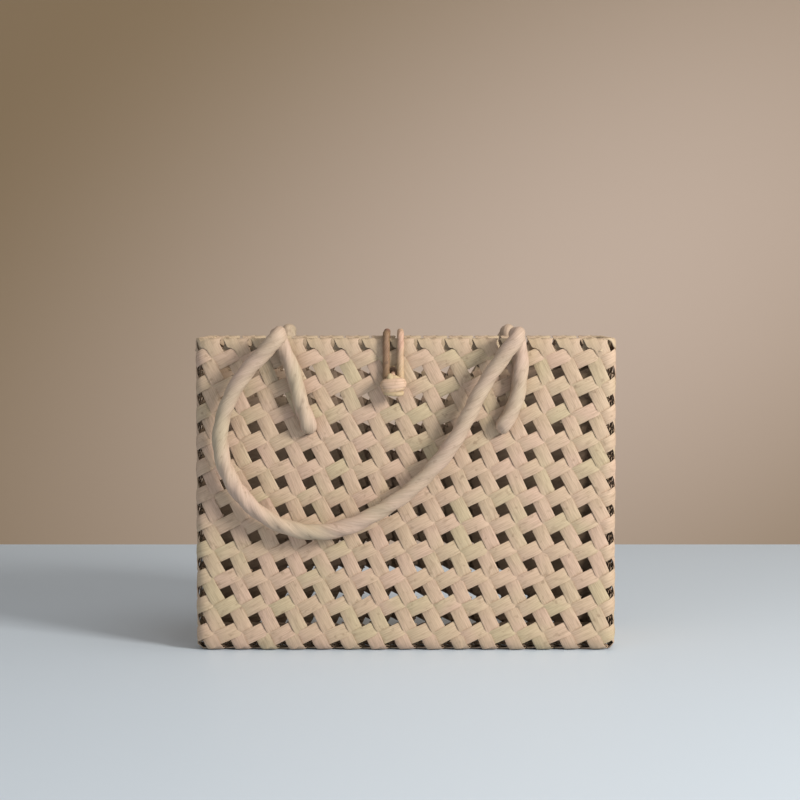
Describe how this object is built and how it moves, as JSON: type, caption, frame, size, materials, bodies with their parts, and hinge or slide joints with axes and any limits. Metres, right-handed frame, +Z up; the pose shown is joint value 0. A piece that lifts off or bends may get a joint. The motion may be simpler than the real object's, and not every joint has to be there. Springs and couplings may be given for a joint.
{
  "type": "basket box bag",
  "caption": "Rectangular open-topped hand bag woven from flat leaf strips with square holes, two folding rope handles and a cord loop that closes on a button.",
  "frame": {"origin": "middle of the underside", "axes": "+X to the right along the width, -Y to the front, +Z up"},
  "size_m": [0.321, 0.1614, 0.2448],
  "materials": {
    "leaf_strip": "dry woven leaf",
    "rope": "twisted leaf rope",
    "cord": "twisted leaf cord",
    "button": "knotted leaf strip"
  },
  "bodies": {
    "basket": {"back_handle_left_end": "rope", "back_handle_right_end": "rope", "button": "button", "button_tie": "cord", "closure_anchor": "cord", "front_back_strip_01": "leaf_strip", "front_back_strip_02": "leaf_strip", "front_back_strip_03": "leaf_strip", "front_back_strip_04": "leaf_strip", "front_back_strip_05": "leaf_strip", "front_back_strip_06": "leaf_strip", "front_back_strip_07": "leaf_strip", "front_back_strip_08": "leaf_strip", "front_back_strip_09": "leaf_strip", "front_back_strip_10": "leaf_strip", "front_back_strip_11": "leaf_strip", "front_back_strip_12": "leaf_strip", "front_back_strip_13": "leaf_strip", "front_back_strip_14": "leaf_strip", "front_back_strip_15": "leaf_strip", "front_handle_left_end": "rope", "front_handle_right_end": "rope", "row_strip_01": "leaf_strip", "row_strip_02": "leaf_strip", "row_strip_03": "leaf_strip", "row_strip_04": "leaf_strip", "row_strip_05": "leaf_strip", "row_strip_06": "leaf_strip", "row_strip_07": "leaf_strip", "row_strip_08": "leaf_strip", "row_strip_09": "leaf_strip", "row_strip_10": "leaf_strip", "row_strip_11": "leaf_strip", "side_strip_01": "leaf_strip", "side_strip_02": "leaf_strip", "side_strip_03": "leaf_strip", "side_strip_04": "leaf_strip", "side_strip_05": "leaf_strip"},
    "front_handle": {"front_handle_loop": "rope"},
    "back_handle": {"back_handle_loop": "rope"},
    "closure": {"closure_loop": "cord"}
  },
  "joints": [
    {"name": "front_handle_lift", "type": "hinge", "parent": "basket", "child": "front_handle", "pos_m": [0, -0.06835, 0.236], "axis": [-1, 0, 0], "range_deg": [0, 180]},
    {"name": "back_handle_lift", "type": "hinge", "parent": "basket", "child": "back_handle", "pos_m": [0, 0.06835, 0.236], "axis": [1, 0, 0], "range_deg": [0, 180]},
    {"name": "closure_swing", "type": "hinge", "parent": "basket", "child": "closure", "pos_m": [0, 0.06145, 0.23915], "axis": [-1, 0, 0], "range_deg": [0, 150]}
  ]
}
